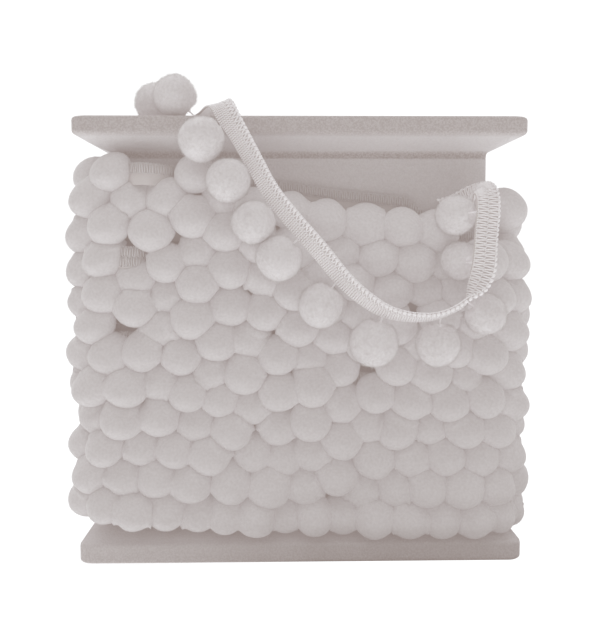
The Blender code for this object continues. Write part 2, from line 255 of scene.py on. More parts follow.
# Kinds of fibres: roughness, other inputs, and the size, detail, strength and depth of the noises
PILE = (1.0, {"Sheen Roughness": 0.3}, ((0.7, 3.0, 0.25, 0.3), (0.22, 2.0, 0.35, 0.15)))
YARN = (0.35, {"Specular IOR Level": 0.8}, ((0.25, 2.0, 0.35, 0.12),))
# painted shade: the tape's body is the same yarn, darker so that it reads as shaded behind its
# threads
SHADED_INNER_YARN = (0.74, 0.715, 0.71)
FLOOR_HALF = 3000.0
FLOOR_GLOW = 0.82
TABLE_SHADE = (-62.0, 96.0, 84.0)  # its left and right ends, and its half depth
SHADE_FULL = 5.0  # from its left end it thickens as far as this
WORLD_SHOWN = 1.1
# Glow of the surroundings by direction: axis, span of it, and the glow at the span's two ends
WORLD_GLOW = (
    ("Z", -0.8, 0.1, 1.12, 0.20),
    ("Z", 0.1, 0.9, 0.0, 0.28),
    ("Y", -0.2, 0.9, 0.0, 0.48),
    ("X", -0.9, 0.9, 0.03, 0.05),
)
# Area lights: place and sides in metres, and power
AREA_LIGHTS = (
    ("back_light", (-0.6, 0.7, 0.75), (1.0, 0.8), 0.6),
    ("top_light", (-0.15, -0.05, 0.9), (0.8, 0.8), 1.8),
)
LIT_POINT = (0.0, 0.0, 0.08)
HAZE = (0.245, 0.171, 0.145)  # how far the surroundings veil the darks, a little warm


# ---- meshes

def add_object(name, data):
    made = bpy.data.objects.new(name, data)
    bpy.context.scene.collection.objects.link(made)
    return made


def add_mesh(name, points, faces, material, smooth=False):
    """A mesh object from points in millimetres and rows of faces."""
    mesh = bpy.data.meshes.new(name)
    points = (np.asarray(points) * MM).tolist()
    mesh.from_pydata(points, [], np.asarray(faces).tolist(), shade_flat=not smooth)
    mesh.materials.append(material)
    return add_object(name, mesh)


def joined(parts):
    """One mesh's points and faces from several."""
    points, faces, start = [], [], 0
    for some_points, some_faces in parts:
        points.append(some_points)
        faces.append(some_faces + start)
        start += len(some_points)
    return np.concatenate(points), np.concatenate(faces)


def add_piece(name, parts, material, smooth=True):
    """One piece of the object from its parts' points and faces."""
    made = add_mesh(name, *joined(parts), material, smooth)
    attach(made, "root")
    return made


def norm(vectors):
    return np.linalg.norm(vectors, axis=-1)


def unit(vectors):
    return vectors / norm(vectors)[..., None]


def geodesic(frequency):
    """Points and triangles of a unit ball: an icosahedron's faces, each cut frequency times."""
    corners = []
    for a in (-1, 1):
        for b in (-GOLDEN, GOLDEN):
            corners += [(0, a, b), (a, b, 0), (b, 0, a)]
    corners = unit(np.array(corners))
    gaps = norm(corners[:, None] - corners[None])
    near = (gaps > 0.1) & (gaps < 1.1)
    points = []
    for i, j, k in itertools.combinations(range(len(corners)), 3):
        if not (near[i, j] and near[j, k] and near[i, k]):
            continue
        a, b, c = corners[i], corners[j], corners[k]
        if np.dot(np.cross(b - a, c - a), a) < 0:
            b, c = c, b
        for u in range(frequency):
            for v in range(frequency - u):
                places = [(u, v), (u + 1, v), (u, v + 1)]
                if u + v < frequency - 1:
                    places += [(u + 1, v), (u + 1, v + 1), (u, v + 1)]
                points += [unit(a * (frequency - m - n) + b * m + c * n) for m, n in places]
    _, first, faces = np.unique(np.round(points, 5) + 0.0, axis=0, return_index=True,
                                return_inverse=True)
    return np.array(points)[first], faces.reshape(-1, 3)


def skinned(points):
    """Closed tubes through points, which are given by tube, ring along it and place round it."""
    count, rings, sides = points.shape[:3]
    tube = np.arange(count)[:, None, None] * rings * sides
    row = tube + np.arange(rings - 1)[:, None] * sides
    here = row + np.arange(sides)
    after = row + (np.arange(sides) + 1) % sides
    cap = np.array([(0, n, n + 1) for n in range(1, sides - 1)])
    faces = (np.stack([here, after, after + sides], axis=-1),
             np.stack([here, after + sides, here + sides], axis=-1),
             tube + cap[:, [0, 2, 1]], tube + (rings - 1) * sides + cap)
    return points.reshape(-1, 3), np.concatenate([some.reshape(-1, 3) for some in faces])


def swept(middles, across, normals, section):
    """A section, given as shares across and out, swept along a line."""
    points = middles[:, None] + across[:, None] * section[:, :1] + normals[:, None] * section[:, 1:]
    return skinned(points[None])


# ---- the wound trim's lines

STRAIGHT = 2 * (CORE_HALF - CORE_CORNER)
ARC = CORE_CORNER * math.pi / 2
QUARTER = STRAIGHT + ARC
ROUND_CORE = 4 * QUARTER
POMPOM_ARC = (CORE_CORNER + HEADER_THICK + WOUND_RADIUS) * math.pi / 2
POMPOM_QUARTER = STRAIGHT + POMPOM_ARC


def wall_at(distance):
    """Point of the core's outline and the direction out of it, at a distance round the core."""
    side = np.floor(distance / QUARTER) % 4
    along = np.mod(distance, QUARTER)
    turn = np.clip((along - STRAIGHT) / ARC, 0, 1) * math.pi / 2
    x = np.minimum(along, STRAIGHT) - STRAIGHT / 2 + CORE_CORNER * np.sin(turn)
    y = -STRAIGHT / 2 - CORE_CORNER * np.cos(turn)
    angle = side * math.pi / 2
    cos, sin = np.cos(angle), np.sin(angle)
    place = np.stack([x * cos - y * sin, x * sin + y * cos], axis=-1)
    out = np.stack([np.sin(turn + angle), -np.cos(turn + angle)], axis=-1)
    return place, out


def round_core(distance, line, column):
    """Values of a column of a line's rows at distances round the core."""
    places = [row[0] * QUARTER + row[1] * STRAIGHT for row in line]
    return np.interp(np.mod(distance, ROUND_CORE), places, [row[column] for row in line])


def top_at(distance):
    """Height of the winding's top edge."""
    return round_core(distance, WINDING_LINE, 2)


def crest_at(distance):
    """Height of the row of pompoms at a distance along the tape from the front left corner."""
    turns = distance / ROUND_CORE
    dip = round_core(distance, WINDING_LINE, 3)
    return FIRST_CREST + TURN_PITCH * turns + dip * np.clip(turns / FLAT_TURNS, 0, 1)


def tape_height(distance):
    """Height of the middle of the wound tape."""
    held = top_at(distance) - HEADER_WIDTH / 2
    last = distance > (TURNS - 1) * ROUND_CORE
    return np.where(last, held, np.minimum(crest_at(distance) + TAPE_ABOVE_CREST, held))


def outside_core(points):
    """Distance from the core's wall and the direction away from it."""
    flat = points[:, :2]
    inner = np.abs(flat) - (CORE_HALF - CORE_CORNER)
    outward = np.maximum(inner, 0)
    reach = norm(outward)
    inside = reach < 1e-9
    outward[inside] = (inner[inside] == inner[inside].max(axis=1, keepdims=True)).astype(float)
    direction = unit(outward) * np.where(flat < 0, -1, 1)
    away = np.where(inside, inner.max(axis=1), reach) - CORE_CORNER
    return away, direction


def ways_out(points):
    """Level directions away from the core's wall."""
    return np.column_stack([outside_core(points)[1], np.zeros(len(points))])


# ---- the loose end's line

TAPE_MIDDLES = np.array(TAPE_ROUTE)[:, :3]
TAPE_SIDES = unit(np.array(TAPE_ROUTE)[:, 3:])
TAPE_LAST = len(TAPE_ROUTE) - 1


def smooth_rows(rows, places):
    """Catmull-Rom values at places along the rows."""
    last = len(rows) - 1
    at = np.clip(np.floor(places).astype(int), 0, last - 1)
    share = (places - at)[:, None]
    before = rows[np.maximum(at - 1, 0)]
    start, end = rows[at], rows[at + 1]
    after = rows[np.minimum(at + 2, last)]
    return 0.5 * (2 * start + (end - before) * share
                  + (2 * before - 5 * start + 4 * end - after) * share ** 2
                  + (3 * start - before - 3 * end + after) * share ** 3)


def even_places(step):
    """Places on the tape's route that are a step apart along it, and their lengths."""
    fine = np.linspace(0, TAPE_LAST, 6000)
    middles = smooth_rows(TAPE_MIDDLES, fine)
    lengths = np.concatenate([[0], np.cumsum(norm(np.diff(middles, axis=0)))])
    count = int(round(lengths[-1] / step))
    wanted = np.linspace(0, lengths[-1], count + 1)
    return np.interp(wanted, lengths, fine), wanted


def tape_frames(places):
    """Middles of the tape, directions to its pompom edge and its face's normals."""
    middles = smooth_rows(TAPE_MIDDLES, places)
    ahead = smooth_rows(TAPE_MIDDLES, np.minimum(places + 0.05, TAPE_LAST))
    behind = smooth_rows(TAPE_MIDDLES, np.maximum(places - 0.05, 0))
    along = unit(ahead - behind)
    side = smooth_rows(TAPE_SIDES, places)
    side = unit(side - along * (side * along).sum(axis=1, keepdims=True))
    return middles, side, np.cross(along, side)


def stem_feet():
    """Where each stem leaves the tape, and the direction across the tape there."""
    middles, side, _ = tape_frames(np.array(STEM_PLACES))
    return middles + side * (HEADER_WIDTH / 2 - STEM_ROOT), side


# ---- placing the wound pompoms

# A pompom's row: x, y, z of its middle, its radius and its lean, which is the way out times how
# far its top is pressed in for its height
LOOSE = []
for number in range(1, len(STEM_PLACES) + 1):
    low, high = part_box(f"pompom_{number:02d}")
    LOOSE.append([*((np.array(low) + np.array(high)) / 2 / MM), (high.z - low.z) / 2 / MM, 0, 0, 0])
LOOSE = np.array(LOOSE)


def flange_clear(points):
    """Distance from the bottom flange's slope, or from its rim outside that, and the way off."""
    away, direction = outside_core(points)
    slope = math.atan2(FLANGE_TAPER, OVERHANG)
    up = np.array([math.sin(slope), math.cos(slope)])
    depth = (away - OVERHANG) * up[0] + (points[:, 2] - BOTTOM_RIM) * up[1]
    past = np.stack([np.maximum(away - OVERHANG, 0), points[:, 2] - BOTTOM_RIM], axis=1)
    round_rim = away > OVERHANG
    rim_reach = norm(past)
    depth = np.where(round_rim, rim_reach, depth)
    way = np.where(round_rim[:, None], past / np.maximum(rim_reach, 1e-6)[:, None], up)
    push = np.concatenate([direction * way[:, :1], way[:, 1:]], axis=1)
    return depth, push


def first_places():
    """The wound pompoms before they press on each other.

    Gives their places along the tape, middles, radii, stem roots and how high each may reach."""
    rng = np.random.default_rng(11)
    spacing = 4 * POMPOM_QUARTER / POMPOMS_PER_TURN
    outer = np.arange(0, TURNS * 4 * POMPOM_QUARTER, spacing)
    outer = np.abs(outer + rng.uniform(-PLACE_SPREAD, PLACE_SPREAD, len(outer)) * spacing)
    quarter, rest = np.divmod(outer, POMPOM_QUARTER)
    bend = np.maximum(rest - STRAIGHT, 0)
    along = quarter * QUARTER + np.minimum(rest, STRAIGHT) + bend * ARC / POMPOM_ARC
    crest = crest_at(along) + rng.uniform(-CREST_SPREAD, CREST_SPREAD, len(along))
    turned_up = np.array(TURNED_UP)
    along = np.concatenate([along, turned_up[:, 0] + math.floor(TURNS) * ROUND_CORE])
    crest = np.concatenate([crest, turned_up[:, 1]])
    up = np.arange(len(along)) >= len(along) - len(turned_up)
    radius = np.clip(rng.normal(WOUND_RADIUS, RADIUS_SPREAD, len(along)), *RADIUS_SPAN)
    place, out = wall_at(along)
    to_corner = np.abs(np.mod(along, QUARTER) / QUARTER - 0.5) * 2
    depth = LAYER_DEPTH + (CORNER_DEPTH - LAYER_DEPTH) * np.clip(to_corner * 3 - 2, 0, 1)
    depth *= np.clip((TUCKED_FROM - crest) / TUCKED_OVER, 0, 1)
    depth *= np.where(out[:, 1] < 0, 1, SIDE_DEPTH)
    stand = HEADER_THICK + radius + rng.uniform(0, 1, len(along)) * depth
    middle = np.column_stack([place + out * stand[:, None], crest])
    root = np.column_stack([place + out * HEADER_THICK,
                            tape_height(along) - HEADER_WIDTH / 2 + 0.3])
    top = top_at(along) - np.where(up, -TURNED_UP_OVER, HEADER_SHOWS)
    return along, middle, radius, root, top


def pushed_off(middle, others, keep):
    """Sum of the pushes on pompoms off other middles, to the distances that they keep."""
    gap = middle[:, None] - others[None]
    reach = np.maximum(norm(gap), 1e-9)
    short = np.maximum(keep - reach, 0)
    return (gap / reach[..., None] * short[..., None]).sum(axis=1)


def leans_of(middles):
    """How pompoms on the core lean: their tops are pressed in, least at its left and right."""
    out = ways_out(middles)
    return out * DROOP * (SIDE_DROOP + (1 - SIDE_DROOP) * np.abs(out[:, 1:2]))


def wound_pompoms():
    """Places along the tape, rows and stem roots of the pompoms on the core."""
    along, middle, radius, root, top = first_places()
    home = middle.copy()
    home_away, _ = outside_core(home)
    lowest = round_core(along, LOWEST_LINE, 2)
    beside = SQUEEZE * (radius[:, None] + radius[None]) * (1 - np.eye(len(middle)))
    route, _ = even_places(TAPE_POINTS)
    tape_middle, tape_side, _ = tape_frames(route)
    tape = np.concatenate([tape_middle + tape_side * at for at in TAPE_ROWS])[TAPE_SPARED:]
    bare = np.array([(x, -CORE_HALF - WOUND_RADIUS, z) for x, z in BARE_SPOTS])
    stops = ((LOOSE[:, :3], LOOSE[:, 3], LOOSE_SHARE), (tape, TAPE_REACH, TAPE_SHARE),
             (bare, BARE_REACH, 1.0))
    for _ in range(RELAX_ROUNDS):
        move = pushed_off(middle, middle, beside) * PUSH
        for others, sizes, share in stops:
            move += pushed_off(middle, others, share * (radius[:, None] + sizes)) * STOP_PUSH
        away, direction = outside_core(middle)
        outward = (move[:, :2] * direction).sum(axis=1)
        move[:, :2] -= direction * (outward * (1 - OUTWARD_SHARE))[:, None]
        move += HOME_PULL * (home - middle)
        move[:, :2] -= direction * (WALL_PULL * np.maximum(away - home_away, 0))[:, None]
        middle += move
        middle[:, 2] = np.minimum(middle[:, 2], top - RESTS_AT * radius)
        away, direction = outside_core(middle)
        held = np.clip(away, HEADER_THICK + LEANS_AT * radius, HEADER_THICK + radius + LAYER_DEPTH)
        middle[:, :2] += direction * (held - away)[:, None]
        depth, push = flange_clear(middle)
        middle += push * np.maximum(RESTS_AT * radius - depth, 0)[:, None]
        middle[:, 2] = np.maximum(middle[:, 2], lowest)
    return along, np.column_stack([middle, radius, leans_of(middle)]), root


# ---- pompom shapes

def lumpy(directions, rng, height):
    """Gentle lumps on a unit ball, as a share of its radius, one row of directions."""
    lumps = np.zeros(len(directions))
    for _ in range(LUMP_WAVES):
        axis = unit(rng.normal(size=3))
        pace = rng.uniform(*LUMP_PACES)
        lumps += np.sin(directions @ axis * pace + rng.uniform(0, 2 * math.pi)) / pace
    return lumps * height * LUMP_SCALE


def reach_of(directions, radius, stem, lumps, rng):
    """How far a free pompom reaches, with its lumps and the dimple and cleft at its stem."""
    reach = radius * (1 + lumpy(directions, rng, lumps))
    to_stem = directions @ stem
    angle = np.arccos(np.clip(to_stem, -1, 1))
    reach -= radius * DIMPLE[0] * np.exp(-(angle / DIMPLE[1]) ** 2)
    reach += radius * SWELLING[0] * np.exp(-((angle - SWELLING[1]) / SWELLING[2]) ** 2)
    across = unit(np.cross(stem, rng.normal(size=3)))
    cleft = np.exp(-(np.abs(directions @ across) / CLEFT[1]) ** 2)
    return reach - radius * CLEFT[0] * cleft * np.clip(to_stem + 0.1, 0, 1)


def drooped(points, lean):
    """Points of a pompom whose top is pressed in by its lean."""
    over = points[:, 2:] - DROOP_FROM
    return points - lean * (over + np.sqrt(over ** 2 + DROOP_EASE)) / 2


def firm_order(middles):
    """How firmly each pompom keeps its round form: more so higher up and further out."""
    away, _ = outside_core(middles)
    return FIRM_OUT * away + FIRM_UP * middles[:, 2] + FIRM_SWING * np.sin(middles @ FIRM_WAVE)


def neighbours_of(number, rows, firmness):
    """Middles from here, radii that they keep and leans of the pompoms that press on one."""
    middle, radius = rows[number, :3], rows[number, 3]
    gap = rows[:, :3] - middle
    reach = norm(gap)
    reach[number] = 1e3
    balls = []
    for other in np.nonzero(reach < radius + rows[:, 3])[0]:
        firmer = np.clip(0.5 + FIRM_SHARE * (firmness[other] - firmness[number]), 0, 1)
        over = radius + rows[other, 3] - reach[other]
        balls.append((gap[other], rows[other, 3] - (1 - firmer) * over, rows[other, 4:]))
    return balls


def pressed_in(points, balls):
    """Points of a pompom, pushed out of its neighbours."""
    for place, size, lean in balls:
        there = drooped(points - place, -lean)
        distance = norm(there)
        kept = size - PRESSED_UNDER
        pushed = place + drooped(there / np.maximum(distance, 1e-6)[:, None] * kept, lean)
        points = np.where((distance < kept)[:, None], pushed, points)
    return points


def filled_out(points, middle, radius, balls):
    """Points of a pompom whose pile fills the grooves between it and its neighbours."""
    own = unit(points)
    fill = np.zeros_like(points)
    all_near = np.full(len(points), 1e-6)
    most_near = all_near
    for place, size, lean in balls:
        there = drooped(points - place, -lean)
        distance = norm(there)
        near = np.maximum(1 - np.abs(distance - size) / FILL_REACH, 0) ** 2
        if place[2] > BELOW_FROM * radius:
            near = near * np.clip((own[:, 2] - FILL_LOWEST) / FILL_FADES, 0, 1)
        height = FILL_HEIGHT * (1 + FILL_SPREAD * math.sin((middle + place / 2) @ FILL_WAVE))
        fill += (own + there / distance[:, None]) / 2 * near[:, None] * height
        all_near = all_near + near
        most_near = np.maximum(most_near, near)
    return points + fill * (most_near / all_near)[:, None] ** JUNCTIONS_OPEN


def off_walls(points, middle):
    """Points of a pompom, pressed flat by the core's wall and the bottom flange's slope."""
    away, direction = outside_core(middle[None])
    depth, push = flange_clear(middle[None])
    wall = np.append(-direction[0], 0.0)
    for normal, distance in ((wall, away[0] - HEADER_THICK), (-push[0], depth[0])):
        over = points @ normal - distance
        points = points - normal * np.maximum(over, 0)[:, None]
    return points


def pile(points, faces, count, rng, length, middle, radius, out):
    """Fine three-sided tufts of yarn on the free part of a pompom that faces out."""
    a, b, c = (points[faces[:, k]] for k in range(3))
    area = norm(np.cross(b - a, c - a))
    centre = (a + b + c) / 3 - middle
    free = norm(centre) > FREE_FROM * radius
    area = area * (0.001 + free * np.clip(unit(centre) @ out + TUFTS_ROUND, 0, 1))
    chosen = rng.choice(len(faces), count, p=area / area.sum())
    u, v = rng.uniform(size=(2, count, 1))
    over = (u + v) > 1
    u, v = np.where(over, 1 - u, u), np.where(over, 1 - v, v)
    foot = a[chosen] * (1 - u - v) + b[chosen] * u + c[chosen] * v
    normal = unit(foot - middle)
    lean = unit(normal + rng.normal(scale=TUFT_SPREAD, size=(count, 3)))
    side = unit(np.cross(lean, rng.normal(size=(count, 3))))
    other = np.cross(lean, side)
    long = rng.uniform(TUFT_SHORTEST, 1, size=(count, 1)) * length
    base = foot - lean * TUFT_ROOT
    ring = [base + (side * math.cos(t) + other * math.sin(t)) * TUFT_THICK
            for t in (0, 2 * math.pi / 3, 4 * math.pi / 3)]
    made = np.stack([*ring, foot + lean * long], axis=1).reshape(-1, 3)
    start = np.arange(count)[:, None] * 4
    sides = np.concatenate([start + np.array(row) for row in ((0, 1, 3), (1, 2, 3), (2, 0, 3))])
    return made, sides


def pompom_mesh(number, rows, firmness, ball, root, out, looks, rng):
    """Points and faces of one pompom of some rows, pressed in by what it touches, with its tufts.

    root is where its stem comes from. Its mesh is finer towards out, the way out from the core,
    which is nought for a loose pompom."""
    middle, radius, lean = rows[number, :3], rows[number, 3], rows[number, 4:]
    lumps, tufts, long = looks
    turned, _ = np.linalg.qr(rng.normal(size=(3, 3)))
    directions = unit(ball[0] @ turned + FINER_OUT * out)
    reach = reach_of(directions, radius, unit(root - middle), lumps, rng)
    balls = neighbours_of(number, rows, firmness)
    points = pressed_in(drooped(directions * reach[:, None], lean), balls)
    points = filled_out(points, middle, radius, balls)
    if out.any():
        points = off_walls(points, middle)
    points = middle + points
    return joined([(points, ball[1]), pile(points, ball[1], tufts, rng, long, middle, radius, out)])


def build_wound_pompoms(material, along, wound, root):
    """The wound pompoms as one piece for each side of the core."""
    rng = np.random.default_rng(5)
    ball = geodesic(WOUND_BALL_CUTS)
    rows = np.concatenate([wound, LOOSE])
    firmness = firm_order(rows[:, :3])
    side = np.floor(np.mod(along + ARC / 2, ROUND_CORE) / QUARTER).astype(int)
    outs = ways_out(wound)
    pieces = []
    for number, name in enumerate(("front", "right", "back", "left")):
        parts = [pompom_mesh(i, rows, firmness, ball, root[i], outs[i], WOUND_LOOKS, rng)
                 for i in np.nonzero(side == number)[0]]
        pieces.append(add_piece(f"wound_pompoms_{name}", parts, material))
    return pieces


def build_loose_pompoms(material, wound):
    """The loose end's pompoms, each a piece that stands for its CAD ball."""
    rng = np.random.default_rng(9)
    ball = geodesic(LOOSE_BALL_CUTS)
    rows = np.concatenate([LOOSE, wound])
    firmness = firm_order(rows[:, :3])
    feet, _ = stem_feet()
    pieces = []
    for i in range(len(LOOSE)):
        mesh = pompom_mesh(i, rows, firmness, ball, feet[i], np.zeros(3), LOOSE_LOOKS, rng)
        name = f"pompom_{i + 1:02d}"
        made = add_piece(f"pile_{name}", [mesh], material)
        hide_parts(name)
        pieces.append(made)
    return pieces


# ---- threads

def across_lines(lines):
    """Two directions across lines of points, at right angles to each other."""
    along = unit(np.gradient(lines, axis=-2))
    across = unit(np.cross(along, (0.31, 0.53, 0.79)))
    return across, np.cross(along, across)


def tubes(lines, radius, sides=5):
    """Threads along many lines of as many points each."""
    across, normal = across_lines(lines)
    turn = np.arange(sides) * 2 * math.pi / sides
    ring = across[:, :, None] * np.cos(turn)[:, None] + normal[:, :, None] * np.sin(turn)[:, None]
    return skinned(lines[:, :, None] + ring * radius)


def beads(middles, long, wide, sizes, rings, around):
    """Small rounded beads: their middles, long and wide directions, and three half sizes."""
    up = np.repeat(math.pi * np.arange(1, rings) / rings, around)
    turn = np.tile(2 * math.pi * np.arange(around) / around, rings - 1)
    body = np.column_stack([-np.cos(up), np.sin(up) * np.cos(turn), np.sin(up) * np.sin(turn)])
    ball = np.concatenate([[(-1, 0, 0)], body, [(1, 0, 0)]]) * sizes
    faces = []
    last = len(ball) - 1
    for step in range(around):
        after = (step + 1) % around
        faces.append((0, 1 + after, 1 + step))
        faces.append((last, last - around + step, last - around + after))
        for low in range(1, last - around, around):
            high = low + around
            faces.append((low + step, low + after, high + after))
            faces.append((low + step, high + after, high + step))
    wide = unit(wide - long * (long * wide).sum(axis=1, keepdims=True))
    axes = np.stack([long, wide, np.cross(long, wide)], axis=1)
    points = middles[:, None] + ball @ axes
    start = np.arange(len(middles))[:, None, None] * len(ball)
    return points.reshape(-1, 3), (np.array(faces) + start).reshape(-1, 3)


def laid(line, length, across, out):
    """Points at lengths along a tape's line, across it and out of it."""
    lengths, middles, sides, normals = line
    length, across, out = np.broadcast_arrays(length, across, out)

    def between(rows):
        return np.stack([np.interp(length, lengths, rows[:, k]) for k in range(3)], axis=-1)

    return (between(middles) + unit(between(sides)) * across[..., None]
            + unit(between(normals)) * out[..., None])


def directions_at(line, length):
    """Directions along a tape's line and across it."""
    here = laid(line, length, 0.0, 0.0)
    along = unit(laid(line, length + 0.2, 0.0, 0.0) - laid(line, length - 0.2, 0.0, 0.0))
    return along, unit(laid(line, length, 1.0, 0.0) - here)


def zigzag(line, span, low, high, legs):
    """A thread that runs to and fro between two places across a tape, once every loop."""
    out, slope, bow = legs
    leg = np.arange(int((span[1] - span[0]) / LOOP_PITCH * 2))[:, None]
    share = np.linspace(0, 1, 4)[None]
    length = span[0] + (leg + 0.5 + (share - 0.5) * slope) * LOOP_PITCH / 2
    across = np.where(leg % 2 == 0, low + (high - low) * share, high + (low - high) * share)
    return tubes(laid(line, length, across, out + bow * np.sin(math.pi * share)), YARN_RADIUS)


def stitches(line, span, at, column, way=1, rings=3, around=5):
    """A column of beads along a tape that slant to the pompom edge, or away if way is -1."""
    out, pitch, slant, sizes = column
    length = np.arange(span[0], span[1] - pitch / 2, pitch)
    along, side = directions_at(line, length)
    turn = math.radians(slant * way)
    long = along * math.cos(turn) + side * math.sin(turn)
    return beads(laid(line, length, at, out), long, side, sizes, rings, around)


def woven_edge(line, span):
    """The chain along a tape's edge and the ladder beside it."""
    chain_span = (span[0] + CHAIN_START, span[1])
    return [zigzag(line, span, *LADDER, LADDER_LEGS),
            stitches(line, chain_span, CHAIN_AT, CHAIN, rings=4, around=6)]


def woven_rungs(line, span, columns):
    """Rungs across a tape's face, in pairs that lean together, and a chain along each column."""
    parts = []
    for number, (low, high) in enumerate(zip(columns, columns[1:])):
        start = (span[0] + number * LOOP_PITCH / 4, span[1])
        parts.append(zigzag(line, start, low + RUNG_INSET, high - RUNG_INSET, RUNG_LEGS))
    for at in columns:
        parts.append(stitches(line, span, at, RUNG_CHAIN))
    return parts


def woven_knit(line, span):
    """Columns of knit stitches on a tape's body."""
    return [stitches(line, span, at + way * WALE_HALF, KNIT, way)
            for at in WALES for way in (-1, 1)]


def thread(start, end, bow):
    """A two-ply thread from start to end, bowed on the way, as two twisted tubes."""
    share = np.linspace(0, 1, 9)[:, None]
    line = start * (1 - share) + end * share + bow * 4 * share * (1 - share)
    across, normal = across_lines(line)
    twist = 2 * math.pi * STEM_TWIST * norm(end - start) * share
    ply = (across * np.cos(twist) + normal * np.sin(twist)) * STEM_RADIUS * 0.5
    return tubes(np.stack([line + ply, line - ply]), STEM_RADIUS * 0.62, 6)


# ---- tape

def band_section():
    """Section of the tape's body: flat, with round edges."""
    middle, half = sum(BODY) / 2, (BODY[1] - BODY[0]) / 2
    turn = np.radians((60, 90, 120, 180, 240, 270, 300, 360))
    ends = np.sign(np.round(np.cos(turn), 2)) * (half - TAPE_HALF_THICK)
    return np.column_stack([middle + ends + np.cos(turn) * TAPE_HALF_THICK,
                            np.sin(turn) * TAPE_HALF_THICK])


def build_tape(material, shaded_inner_material):
    """The loose end of the tape as a free flat cord: its body, threads and looped edge."""
    places, lengths = even_places(TAPE_STEP)
    middles, side, normal = tape_frames(places)
    line = (lengths, middles, side, normal)
    span = (0.0, lengths[-1])
    parts = woven_edge(line, span) + woven_knit(line, span) + woven_rungs(line, span, RUNG_COLUMNS)
    made = add_piece("tape", parts, material)
    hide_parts("loose_tape")
    # the body gets the darker copy of the yarn, painted shade
    body = swept(middles, side, normal, band_section())
    return made, add_piece("tape_body", [body], shaded_inner_material), middles, lengths


def stem_ends(rows, roots):
    """Where stems from their roots end inside pompoms."""
    return rows[:, :3] + unit(roots - rows[:, :3]) * rows[:, 3:4] * STEM_REACH


def build_stems(material):
    """The threads that hold the loose end's pompoms."""
    feet, side = stem_feet()
    parts = [thread(*stem) for stem in zip(feet, stem_ends(LOOSE, feet), side * STEM_BOW)]
    return add_piece("stems", parts, material)


def bare_spans():
    """Stretches of the wound tape that show below the last turn."""
    spans = []
    for x, z in BARE_SPOTS:
        passes = x + STRAIGHT / 2 + ROUND_CORE * np.arange(math.floor(TURNS))
        near = passes[np.abs(tape_height(passes) - z) < SPOT_SHOWS]
        spans += [(along - SPOT_SHOWS, along + SPOT_SHOWS) for along in near]
    return spans


def lifted_at(x, height):
    """How far the wound tape stands off the core."""
    lift = WOUND_LIFT
    for spot_x, spot_z in BARE_SPOTS:
        away = ((x - spot_x) / SPOT_WIDE) ** 2 + ((height - spot_z) / SPOT_HIGH) ** 2
        lift = lift + SPOT_LIFT * np.exp(-away)
    return lift


def build_wound_tape(material, shaded_inner_material, wound, root):
    """The tape on the core, woven where it shows, with the threads of its pompoms."""
    distance = np.arange(0, TURNS * ROUND_CORE, WOUND_STEP)
    place, out = wall_at(distance)
    height = tape_height(distance)
    lift = np.where(out[:, 1] < -0.9, lifted_at(place[:, 0], height), WOUND_LIFT)
    middles = np.column_stack([place + out * lift[:, None], height])
    normal = np.column_stack([-out, np.zeros(len(out))])
    down = np.tile((0.0, 0.0, -1.0), (len(out), 1))
    line = (distance, middles, down, normal)
    # the body gets the darker copy of the yarn, painted shade
    body = swept(middles, down, normal, band_section())
    add_piece("wound_tape_body", [body], shaded_inner_material)
    last_turn = ((TURNS - 1) * ROUND_CORE, TURNS * ROUND_CORE)
    parts = woven_rungs(line, last_turn, RUNG_COLUMNS[:2])
    for span in bare_spans():
        parts += woven_rungs(line, span, RUNG_COLUMNS)
    end = stem_ends(wound, root)
    parts.append(tubes(np.stack([root, (root + end) / 2, end], axis=1), STEM_RADIUS, 4))
    return add_piece("wound_tape", parts, material)


# ---- materials

def set_inputs(node, values):
    for name, value in values.items():
        node.inputs[name].default_value = value


def add_node(tree, kind, values=None, sources=None, **settings):
    """A node with its settings, values of some inputs and sources linked to others."""
    node = tree.nodes.new("ShaderNode" + kind)
    for name, value in settings.items():
        setattr(node, name, value)
    set_inputs(node, values or {})
    for name, source in (sources or {}).items():
        tree.links.new(source, node.inputs[name])
    return node


def add_place(tree, space="Object"):
    return add_node(tree, "TexCoord").outputs[space]


def add_axes(tree, space="Object"):
    """Coordinates of a point, as X, Y and Z."""
    return add_node(tree, "SeparateXYZ", sources={"Vector": add_place(tree, space)}).outputs


def add_noise(tree, size, detail=2.0):
    """Noise whose grains are about size millimetres across."""
    values = {"Scale": 1 / (size * MM), "Detail": detail}
    return add_node(tree, "TexNoise", values, {"Vector": add_place(tree)}).outputs["Fac"]


def add_ramp(tree, source, places, colours):
    """Colour that runs through colours, which lie at places among a source's values."""
    ramp = add_node(tree, "ValToRGB", sources={"Fac": source})
    elements = ramp.color_ramp.elements
    while len(elements) < len(places):
        elements.new(1.0)
    for element, place, colour in zip(elements, places, colours):
        element.position = place
        element.color = (*colour, 1.0)
    return ramp.outputs["Color"]


def add_bumps(tree, shader, layers):
    """Bump nodes one after another: height, strength and depth in millimetres of each layer."""
    sources = {}
    for height, strength, depth in layers:
        sources["Height"] = height
        bump = add_node(tree, "Bump", {"Strength": strength, "Distance": depth * MM}, sources)
        sources["Normal"] = bump.outputs["Normal"]
    tree.links.new(sources["Normal"], shader.inputs["Normal"])


def new_material(name, colour, roughness, others=None):
    """A material, its node tree and its shader, with values for some of the shader's inputs."""
    made = bpy.data.materials.new(name)
    made.use_nodes = True
    shader = made.node_tree.nodes["Principled BSDF"]
    set_inputs(shader, {"Base Color": (*colour, 1.0), "Roughness": roughness,
                        "Specular IOR Level": 0.25, **(others or {})})
    return made, made.node_tree, shader


